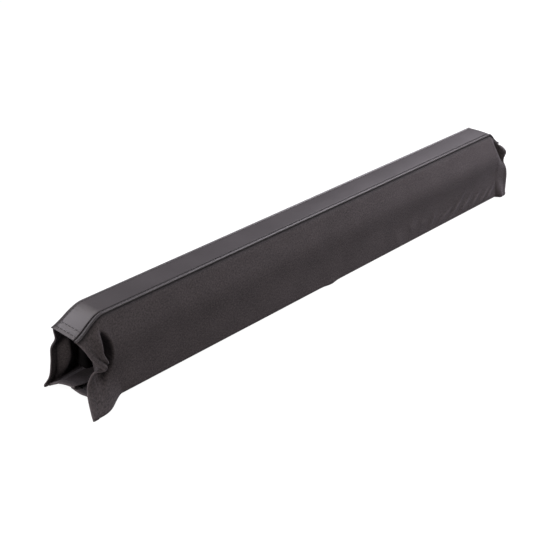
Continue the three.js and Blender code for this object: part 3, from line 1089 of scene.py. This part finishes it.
@dataclass(frozen=True)
class CoatedFabric:
    """Polyester with a calendered vinyl coat.

    To the eye it is smooth and a little paler than the woven cloth, with a soft broad sheen and barely
    any grain. The stitched groove beside each lip has painted shade and no shine.
    """

    name: str = "vinyl_coated_polyester"
    dark: str = "322f31"
    pale: str = "3c393b"
    # Painted shade in the stitched groove beside each lip.
    groove: str = "1a1818"
    roughness: float = 0.48
    specular: float = 0.5
    grain_mm: float = 1.6
    tone_mm: float = 55.0

    def build(self) -> bpy.types.Material:
        """Make the material.

        Returns:
            The material, with a faint leather grain in bump and slow changes of tone.
        """
        material, tree = new_material(self.name)
        stored = {"attribute_name": FLAT, "attribute_type": "GEOMETRY"}
        place = {"Vector": add_node(tree, "ShaderNodeAttribute", stored).outputs["Vector"]}
        grains = {"Scale": 1 / (self.grain_mm * MM), "Detail": 2.0}
        grain = add_node(tree, "ShaderNodeTexNoise", values=grains, links=place).outputs["Fac"]
        tones = {"Scale": 1 / (self.tone_mm * MM), "Detail": 2.0}
        slow = add_node(tree, "ShaderNodeTexNoise", values=tones, links=place).outputs["Fac"]
        toned = add_node(tree, "ShaderNodeMath", {"operation": "MULTIPLY_ADD"}, {1: 0.2}, {0: grain, 2: slow})
        stops = ((0.35, self.dark), (0.8, self.pale))
        ramp = add_node(tree, "ShaderNodeValToRGB", links={0: toned.outputs[0]}, stops=stops)
        mark = {"Value": add_node(tree, "ShaderNodeSeparateXYZ", links={0: place["Vector"]}).outputs["Z"]}
        # Painted shade and no shine where the third number marks the stitched groove.
        painted_shade = add_node(tree, "ShaderNodeMapRange", values={"From Max": MM, "To Max": 0.95}, links=mark)
        parts = {0: painted_shade.outputs[0], 6: ramp.outputs[0]}
        groove_shaded = add_node(tree, "ShaderNodeMix", {"data_type": "RGBA"}, {7: linear(self.groove)}, parts)
        dulled = {"From Max": MM, "To Min": self.specular, "To Max": 0.0}
        shine = add_node(tree, "ShaderNodeMapRange", values=dulled, links=mark)
        uneven = {"To Min": self.roughness - 0.05, "To Max": self.roughness + 0.07}
        rough = add_node(tree, "ShaderNodeMapRange", values=uneven, links={"Value": grain})
        relief = {"Strength": 0.25, "Distance": 0.12 * MM}
        bump = add_node(tree, "ShaderNodeBump", values=relief, links={"Height": grain})
        fed = {
            "Base Color": groove_shaded.outputs[2],
            "Specular IOR Level": shine.outputs[0],
            "Roughness": rough.outputs[0],
            "Normal": bump.outputs[0],
        }
        shader = add_node(tree, "ShaderNodeBsdfPrincipled", values={"Sheen Weight": 0.05}, links=fed)
        add_node(tree, "ShaderNodeOutputMaterial", links={"Surface": shader.outputs[0]})
        return material


@dataclass(frozen=True)
class GrainedFinish:
    """A dark matt finish with a grain, for what is mostly hidden: thread, foam, hook tape and loop tape."""

    name: str
    dark: str
    pale: str
    roughness: float
    grain_mm: float
    bump_mm: float
    sheen: float = 0.0
    specular: float = 0.5
    cloud_grains: float = 9.0

    def build(self) -> bpy.types.Material:
        """Make the material.

        Returns:
            The material, with a cell pattern in the object's own space.
        """
        material, tree = new_material(self.name)
        place = {"Vector": add_node(tree, "ShaderNodeTexCoord").outputs["Object"]}
        grain = self.grain_mm * MM
        cells = add_node(tree, "ShaderNodeTexVoronoi", values={"Scale": 1 / grain}, links=place)
        clouds = {"Scale": 1 / (self.cloud_grains * grain), "Detail": 4.0}
        cloud = add_node(tree, "ShaderNodeTexNoise", values=clouds, links=place)
        stops = ((0.3, self.dark), (0.75, self.pale))
        ramp = add_node(tree, "ShaderNodeValToRGB", links={0: cloud.outputs["Fac"]}, stops=stops)
        relief = {"Strength": 0.6, "Distance": self.bump_mm * MM}
        bump = add_node(tree, "ShaderNodeBump", values=relief, links={"Height": cells.outputs["Distance"]})
        surface = {
            "Roughness": self.roughness,
            "Sheen Weight": self.sheen,
            "Specular IOR Level": self.specular,
        }
        fed = {"Base Color": ramp.outputs[0], "Normal": bump.outputs[0]}
        shader = add_node(tree, "ShaderNodeBsdfPrincipled", values=surface, links=fed)
        add_node(tree, "ShaderNodeOutputMaterial", links={"Surface": shader.outputs[0]})
        return material


# Spun polyester sewing thread: a fine matt cord, darker than the cloth it sinks into.
THREAD = GrainedFinish("spun_polyester_thread", "161415", "242122", 0.7, 0.5, 0.05, sheen=0.1)
# Cross-linked polyethylene foam, skived to shape: charcoal, dull, with fine cut cells.
FOAM = GrainedFinish("polyethylene_foam", "0a090a", "131213", 0.95, 1.2, 0.25, specular=0.1)
# Nylon hook tape, woven with cut hooks, and loop tape, knitted and brushed: black and fuzzy.
HOOK_TAPE = GrainedFinish("nylon_hook_tape", "131213", "201f20", 0.6, 1.4, 0.5)
LOOP_TAPE = GrainedFinish("brushed_loop_tape", "161516", "262425", 0.9, 0.8, 0.3, sheen=0.3)


# The foam, the closure and the cover


def dress(
    piece: bpy.types.Object, material: bpy.types.Material, replaced: Sequence[str] = ()
) -> bpy.types.Object:
    """Give a piece its material, its body and the nodes it stands for, and report it.

    Args:
        piece: the piece.
        material: its material.
        replaced: the model's nodes that it stands for.

    Returns:
        The piece.
    """
    piece.data.materials.clear()
    piece.data.materials.append(material)
    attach(piece, BODY)
    if replaced:
        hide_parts(*replaced)
    LOG.info("%s: %d faces", piece.name, len(piece.data.polygons))
    return piece


@dataclass
class FoamCore:
    """The foam: a block over the bar's channel and a rail on each side of it."""

    voxel_mm: float = 3.0
    soften_factor: float = 0.5
    soften_rounds: int = 2
    sink_width: float = 30.0
    nodes: tuple[str, ...] = ("foam_block", "foam_rail_front", "foam_rail_back")

    def sink(self, mesh: bpy.types.Mesh) -> None:
        """Press the foam's front in where the cloth sinks over its end.

        Args:
            mesh: the foam's mesh, which is changed.
        """
        flat = np.empty(len(mesh.vertices) * 3, np.float32)
        mesh.vertices.foreach_get("co", flat)
        points = flat.reshape(-1, 3)
        x, y, z = (points / MM).T
        points[:, 1] += FRONT_HOLLOW.sink(x, z) * smooth(-y / self.sink_width) * MM
        mesh.vertices.foreach_set("co", points.ravel())
        mesh.update()

    def cut(self, node: str) -> bpy.types.Object:
        """Copy a solid, remesh it finely and soften it as cut foam.

        Args:
            node: the solid's name.

        Returns:
            The copy.
        """
        copy = bpy.data.objects.new(f"{node}_cut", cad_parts[node].data.copy())
        bpy.context.scene.collection.objects.link(copy)
        remesh = copy.modifiers.new("remesh", "REMESH")
        remesh.mode = "VOXEL"
        remesh.voxel_size = self.voxel_mm * MM
        remesh.adaptivity = 0.0
        soften = copy.modifiers.new("soften", "SMOOTH")
        soften.factor = self.soften_factor
        soften.iterations = self.soften_rounds
        graph = bpy.context.evaluated_depsgraph_get()
        mesh = bpy.data.meshes.new_from_object(copy.evaluated_get(graph))
        copy.modifiers.clear()
        copy.data = mesh
        self.sink(mesh)
        mesh.shade_smooth()
        return copy

    def build(self) -> None:
        """Make and dress the three pieces of foam."""
        material = FOAM.build()
        for node in self.nodes:
            piece = dress(self.cut(node), material, [node])


@dataclass
class Closure:
    """The hook tape and the loop tape between the flaps."""

    sizes: PadSizes
    long_steps: int = 120
    cross_steps: int = 11
    edge_band: float = 1.2

    def tape(self, name: str, low: float) -> bpy.types.Object:
        """Make a flat tape with round edges.

        Args:
            name: its name.
            low: height of its underside.

        Returns:
            The tape.
        """
        sizes, thick = self.sizes, self.sizes.tape
        half, reach = sizes.foam_length / 2 - sizes.tape_inset, sizes.tape_width / 2
        ends, edges = rounded_stations(half, thick), rounded_stations(reach, thick)
        inside = np.linspace(-half + thick, half - thick, self.long_steps)[1:-1]
        x = np.concatenate([-ends[::-1], inside, ends])
        inside = np.linspace(-reach + self.edge_band, reach - self.edge_band, self.cross_steps)
        y = np.concatenate([-edges[::-1], inside, edges])
        end_share = edge_round(half - np.abs(x), thick)[:, None]
        share = np.minimum(end_share, edge_round(reach - np.abs(y), thick)[None])
        placed = np.broadcast_arrays(x[:, None], sizes.overlap_centre + y[None], low + thick / 2)
        grid = np.stack(placed, axis=-1)
        up = np.zeros_like(grid)
        up[..., 2] = share * thick / 2
        flat = np.stack(np.broadcast_arrays(x[:, None], y[None], 0.0), axis=-1)
        return closed_sheet(name, grid + up, grid - up, flat, turned=True)

    def build(self) -> None:
        """Make and dress both tapes."""
        s = self.sizes
        hook = self.tape("hook_tape_woven", s.hook_z)
        loop = self.tape("loop_tape_knitted", s.loop_z)
        dress(hook, HOOK_TAPE.build(), ["hook_tape"])
        dress(loop, LOOP_TAPE.build(), ["loop_tape"])


@dataclass
class SidePanel:
    """One woven side panel with its flap."""

    name: str
    node: str
    rail: str
    side: Side
    other: Side
    fine_from: float | None = None

    end_steps: int = 38
    foot_steps: int = 13
    coarse_step: float = 6.0
    fine_step: float = 1.7
    panel_steps: int = 96
    flap_steps: int = 48
    hem_outer: float = 0.42
    hem_inner: float = 0.78
    stitch_from_hem: float = 8.2
    stitch_pitch: float = 4.6
    pucker_pitch: float = 6.6
    pucker_depth: float = 0.75

    def stations(self) -> np.ndarray:
        """Choose the stations along the pad.

        Returns:
            Distances, closest together at the limp ends and over the creases.
        """
        turn = self.side.sizes.turn
        end = end_stations(self.side.sizes, self.end_steps)
        foot = np.linspace(-turn, 12 - turn, self.foot_steps)
        middle = np.concatenate([foot, np.arange(15 - turn, turn - 4, self.coarse_step), [turn]])
        if self.fine_from is not None:
            fine = np.arange(self.fine_from, turn - 0.5, self.fine_step)
            middle = np.concatenate([middle[middle < self.fine_from], fine, [turn]])
        return np.concatenate([-end[::-1], middle, end])

    def places(self) -> np.ndarray:
        """Choose the places across the cloth.

        Returns:
            Places from 0 to 2, closest together at the flap's free edge.
        """
        flap = self.side.lengths()[1]
        close = rounded_stations(1.0, self.side.sizes.cloth / flap)
        panel = np.linspace(0, 1, self.panel_steps)[:-1]
        return np.concatenate([panel, 1 + np.linspace(0, 1 - 1.2 / flap, self.flap_steps), 1 + close])

    def stitches(self, x: np.ndarray, top: np.ndarray, normal: np.ndarray) -> list[StitchRow]:
        """Lay a row of stitches along each hem.

        Args:
            x: stations along the pad.
            top: points of the outer face.
            normal: its normals.

        Returns:
            The rows.
        """
        rows = []
        for way in (-1, 1):
            at = int(np.argmin(np.abs(x - way * (self.side.sizes.half - self.stitch_from_hem))))
            line, up = top[at, 6:-4], normal[at, 6:-4]
            rows.append(StitchRow(line, up, pitch=self.stitch_pitch, length=3.4, radius=0.45))
        return rows

    def build(self, material: bpy.types.Material) -> list[StitchRow]:
        """Make and dress the panel.

        Args:
            material: the woven cloth's material.

        Returns:
            The panel's rows of stitches.
        """
        side, s = self.side, self.side.sizes
        front, back = (side, self.other) if side.sign < 0 else (self.other, side)
        x, place = self.stations(), self.places()
        strip = StripFrame.at(x, front, back)
        body = side.surface(x, place, strip)
        seam = s.seam_width * np.array([1, 0.66, 0.33])
        tucked = body[:, :1] - side.sign * strip.across[:, None] * seam[None, :, None]
        middle = np.concatenate([tucked, body], axis=1)
        normal = unit(np.cross(np.gradient(middle, x, axis=0), np.gradient(middle, axis=1))) * side.sign
        panel, flap = side.lengths()
        across = np.concatenate([-seam, np.where(place <= 1, place * panel, panel + (place - 1) * flap)])
        from_hem = s.half - np.abs(x)
        band = smooth(s.hem_width - from_hem)[:, None] * smooth((across - 1.5) / 3)[None]
        outer = s.cloth / 2 + self.hem_outer * band
        inner = s.cloth / 2 + self.hem_inner * band
        share = edge_round(from_hem, s.hem)[:, None] * edge_round(panel + flap - across, s.cloth)[None]
        pucker = smooth(across / 6) * (0.75 + 0.25 * np.cos(across * 2 * math.pi / self.pucker_pitch))
        dimple = self.pucker_depth * bell(from_hem, self.stitch_from_hem, 1.2)[:, None] * pucker[None]
        top = middle + normal * ((outer - dimple) * share)[..., None]
        under = middle - normal * ((inner - dimple * 0.5) * share)[..., None]
        # Painted highlight along the hem's edge, partly from rubbing, less painted shadow along the top edge
        # under the strip's lip.
        mark = bell(from_hem, 0, 1.5)[:, None] - bell(across, 0.5, 2.8)[None]
        # Each crease adds a painted highlight on its crest, partly from rubbing, and painted shade beside it.
        for crease in side.creases:
            mark = mark + crease.wear_and_light(x[:, None], middle[..., 2]) * (across < panel)[None]
        flat = np.stack(np.broadcast_arrays(x[:, None], across[None], mark), axis=-1)
        piece = closed_sheet(self.name, top, under, flat, turned=side.sign < 0)
        dress(piece, material, [self.node])
        return self.stitches(x, top, normal)


@dataclass
class TopStrip:
    """The coated strip along the top, with a folded lip down each edge and a hem across each end."""

    sizes: PadSizes
    front: Side
    back: Side
    end_steps: int = 46
    middle_steps: int = 120
    lip_band: float = 3.2
    lip_stitch: float = 4.0
    lip_roll: float = 0.45
    groove_depth: float = 0.7
    groove_shade_width: float = 1.25
    back_pull: float = 0.3
    hem_stitches: tuple[float, float] = (5.0, 11.5)
    hem_dimple: float = 0.3

    def places(self) -> np.ndarray:
        """Choose the places across the strip.

        Returns:
            Distances from its middle, closest together at the lips.
        """
        half, lip_start = self.sizes.top_width / 2, self.sizes.lip_width + self.lip_band
        inside = np.linspace(0, half - lip_start, 12)[:-1]
        beside = np.linspace(half - lip_start, half - 1.0, 24)
        lip = np.concatenate([beside, rounded_stations(half, self.sizes.lip)])
        return np.concatenate([-np.concatenate([inside[1:], lip])[::-1], inside, lip])

    def stitches(self, x: np.ndarray, across: np.ndarray, top: np.ndarray, up: np.ndarray) -> list[StitchRow]:
        """Lay a row of stitches beside each lip and two across each hem.

        Args:
            x: stations along the pad.
            across: places across the strip.
            top: points of the upper face.
            up: its normals.

        Returns:
            The rows.
        """
        rows = []
        for edge in (-1, 1):
            at = int(np.argmin(np.abs(across - edge * (self.sizes.top_width / 2 - self.lip_stitch))))
            rows.append(StitchRow(top[4:-4, at], up[4:-4, at], pitch=4.0, length=3.2, radius=0.3))
        for way in (-1, 1):
            for distance in self.hem_stitches:
                at = int(np.argmin(np.abs(x - way * (self.sizes.half - distance))))
                rows.append(StitchRow(top[at, 8:-8], up[at, 8:-8], pitch=5.4, length=4.2, radius=0.42))
        return rows

    def build(self) -> list[StitchRow]:
        """Make and dress the strip.

        Returns:
            Its rows of stitches.
        """
        s = self.sizes
        end = end_stations(s, self.end_steps)
        x = np.concatenate([-end[::-1], np.linspace(-s.turn, s.turn, self.middle_steps), end])
        across = self.places()
        axes = StripFrame.at(x, self.front, self.back)
        half = s.top_width / 2
        from_edge, from_hem = half - np.abs(across), s.half - np.abs(x)
        crown = s.crown * (1 - (across / half) ** 2)
        fold = smooth((s.lip_width + 0.4 - from_edge) / 0.8)
        pulled = np.where(across > 0, self.back_pull, 1.0)
        groove = self.groove_depth * pulled * bell(from_edge, self.lip_stitch, 0.7)
        roll = self.lip_roll * bell(from_edge, 1.4, 0.9) - groove
        hem = smooth(s.hem_width + 3 - from_hem)[:, None]
        dimple = sum(self.hem_dimple * bell(from_hem, distance, 0.8) for distance in self.hem_stitches)
        dimple = dimple[:, None] * (1 - smooth(s.lip_width - from_edge))[None]
        share = edge_round(from_hem, s.hem)[:, None] * edge_round(from_edge, s.lip)[None]
        over = s.cloth / 2 + 0.2 * fold[None] + 0.15 * hem
        hang = smooth((1.7 - from_edge) / 0.8)
        low = s.cloth / 2 + (0.2 * fold + hang)[None] + 0.35 * hem * (1 - fold[None])
        spread = across[None] * axes.width[:, None] / s.top_width
        middle = axes.middle[:, None] + axes.across[:, None] * spread[..., None]
        up = np.broadcast_to(axes.up[:, None], middle.shape)
        top = middle + up * (crown[None] + (over + roll[None] - dimple) * share)[..., None]
        under = middle + up * (crown[None] - low * share)[..., None]
        # Painted shade in the stitched groove beside each lip, fainter on the back.
        mark = pulled * bell(from_edge, self.lip_stitch, self.groove_shade_width)
        flat = np.stack(np.broadcast_arrays(x[:, None], across[None], mark[None]), axis=-1)
        piece = closed_sheet("coated_top_strip", top, under, flat, turned=True)
        dress(piece, CoatedFabric().build(), ["top_strip"])
        return self.stitches(x, across, top, up)


@dataclass
class Cover:
    """The sewn sleeve: the top strip and both side panels, with their stitching."""

    sizes: PadSizes = field(default_factory=PadSizes)
    fine_from: float = 190.0

    def sides(self) -> tuple[Side, Side]:
        """Shape the two sides.

        Returns:
            The front and back sides as surfaces.
        """
        s = self.sizes
        front_edge = -(s.overlap_centre + s.overlap / 2)
        back_edge = s.overlap_centre - s.overlap / 2
        ramp_end = s.overlap_centre + s.overlap / 2 + s.ramp_clearance
        front_path = ((front_edge, s.flap_z),)
        back_path = ((ramp_end + s.ramp, s.flap_z), (ramp_end, s.upper_flap_z), (back_edge, s.upper_flap_z))
        front = Side(s, -1, front_path, FRONT_NEAR, FRONT_FAR, FRONT_CREASES, FRONT_HOLLOW, FRONT_SNAG)
        return front, Side(s, 1, back_path, BACK_NEAR, BACK_FAR)

    def build(self) -> None:
        """Make the sleeve's pieces in the order they are sewn."""
        front, back = self.sides()
        woven = WovenPolyester().build()
        thread = THREAD.build()
        front_panel = SidePanel("woven_front", "front_panel", "foam_rail_front", front, back, self.fine_from)
        back_panel = SidePanel("woven_back", "back_panel", "foam_rail_back", back, front)
        panel_rows = front_panel.build(woven) + back_panel.build(woven)
        strip_rows = TopStrip(self.sizes, front, back).build()
        dress(stitch_piece("panel_stitches", panel_rows), thread)
        dress(stitch_piece("strip_stitches", strip_rows), thread)


# The studio


class Tint(Enum):
    """Colours of the lamps' light."""

    COOL = (0.97, 0.93, 1.0)
    WARM = (1.0, 0.94, 0.93)


@dataclass(frozen=True)
class SoftBox:
    """A rectangular lamp that faces a point, with its places and sizes in metres."""

    name: str
    at: tuple[float, float, float]
    aim: tuple[float, float, float]
    size: tuple[float, float]
    watts: float
    tint: Tint

    def build(self) -> None:
        """Add the lamp to the scene."""
        data = bpy.data.lights.new(self.name, "AREA")
        data.color = self.tint.value
        data.shape = "RECTANGLE"
        data.size, data.size_y = self.size
        data.energy = self.watts
        made = bpy.data.objects.new(self.name, data)
        made.location = self.at
        made.rotation_euler = (Vector(self.aim) - Vector(self.at)).to_track_quat("-Z", "Y").to_euler()
        bpy.context.scene.collection.objects.link(made)


LAMPS = (
    SoftBox("overhead_box", (0.82, 0.0, 0.95), (0.34, 0.0, 0.05), (0.55, 0.5), 15.5, Tint.COOL),
    SoftBox("front_right_box", (0.85, -0.65, 1.1), (0.3, 0.0, 0.05), (0.7, 0.7), 8, Tint.COOL),
    SoftBox("front_box", (0.1, -1.3, 0.8), (-0.2, 0.0, 0.05), (1.1, 0.8), 2.5, Tint.WARM),
    SoftBox("low_front_box", (0.0, -1.6, 0.35), (-0.1, 0.0, 0.05), (1.0, 0.7), 8, Tint.WARM),
    SoftBox("right_box", (1.25, -0.5, 0.3), (0.3, 0.0, 0.05), (0.3, 0.4), 2, Tint.COOL),
    SoftBox("left_box", (-1.35, -0.1, 0.32), (-0.36, 0.02, 0.04), (0.4, 0.4), 6, Tint.WARM),
    SoftBox("back_left_box", (-0.95, 1.1, 0.95), (-0.3, 0.0, 0.05), (0.9, 0.8), 17, Tint.COOL),
    SoftBox("top_left_box", (-0.35, 0.6, 1.05), (-0.25, 0.0, 0.09), (0.6, 0.6), 5, Tint.WARM),
)


@dataclass
class Studio:
    """White floor, soft boxes and the camera that the photograph was taken with.

    Lengths are in metres, apart from the lens and the floor, which are in millimetres. Each strength has a
    part for what lights the pad and a part for what the camera sees.
    """

    camera_at: tuple[float, float, float] = (-0.881993, -0.793200, 0.651251)
    camera_turn: tuple[float, float, float] = (60.92853, 0.0, -45.57884)
    lens: float = 70.0
    sensor: float = 36.0
    floor_reach: float = 6000.0
    floor_z: float = -0.5
    paper: str = "6a6a6a"
    floor_strength: tuple[float, float] = (0.06, 0.95)
    room_strength: tuple[float, float] = (0.012, 1.0)

    def camera(self) -> None:
        """Place the camera."""
        data = bpy.data.cameras.new("camera")
        data.lens = self.lens
        data.sensor_width = self.sensor
        made = bpy.data.objects.new("camera", data)
        made.location = self.camera_at
        made.rotation_euler = Euler([math.radians(angle) for angle in self.camera_turn])
        bpy.context.scene.collection.objects.link(made)
        bpy.context.scene.camera = made

    def strength(self, tree: bpy.types.NodeTree, parts: tuple[float, float]) -> bpy.types.NodeSocket:
        """Give a light one strength on the pad and another to the camera.

        Args:
            tree: the material's or world's node tree.
            parts: the two strengths.

        Returns:
            The strength.
        """
        path = add_node(tree, "ShaderNodeLightPath")
        ends = {"To Min": parts[0], "To Max": parts[1]}
        seen = {"Value": path.outputs["Is Camera Ray"]}
        return add_node(tree, "ShaderNodeMapRange", values=ends, links=seen).outputs[0]

    def floor(self) -> None:
        """Lay a white floor that shows white to the camera and keeps the pad's shadow."""
        material, tree = new_material("white_paper_floor")
        paper = add_node(tree, "ShaderNodeBsdfDiffuse", values={"Color": linear(self.paper)})
        strength = self.strength(tree, self.floor_strength)
        glow = add_node(tree, "ShaderNodeEmission", links={"Strength": strength})
        both = add_node(tree, "ShaderNodeAddShader", links={0: paper.outputs[0], 1: glow.outputs[0]})
        add_node(tree, "ShaderNodeOutputMaterial", links={"Surface": both.outputs[0]})
        signs = ((-1, -1), (1, -1), (1, 1), (-1, 1))
        corners = [(x * self.floor_reach, y * self.floor_reach, self.floor_z) for x, y in signs]
        floor = make_object("floor", np.array(corners), [[0, 1, 2, 3]])
        floor.data.materials.append(material)

    def world(self) -> None:
        """Light the pad evenly from a pale room that the camera sees as white."""
        world = bpy.data.worlds.new("pale_room")
        bpy.context.scene.world = world
        world.use_nodes = True
        tree = world.node_tree
        tree.nodes.clear()
        strength = self.strength(tree, self.room_strength)
        sky = add_node(tree, "ShaderNodeBackground", links={"Strength": strength})
        add_node(tree, "ShaderNodeOutputWorld", links={"Surface": sky.outputs[0]})

    def build(self) -> None:
        """Set up the camera, the stage and the lamps."""
        self.camera()
        self.floor()
        self.world()
        for lamp in LAMPS:
            lamp.build()
        bpy.context.scene.view_settings.view_transform = "Standard"


def main() -> None:
    """Build the studio and the pad."""
    logging.basicConfig(level=logging.INFO, format="%(message)s")
    cover = Cover()
    Studio().build()
    FoamCore().build()
    Closure(cover.sizes).build()
    cover.build()
    bpy.context.view_layer.update()


if __name__ == "__main__":
    main()
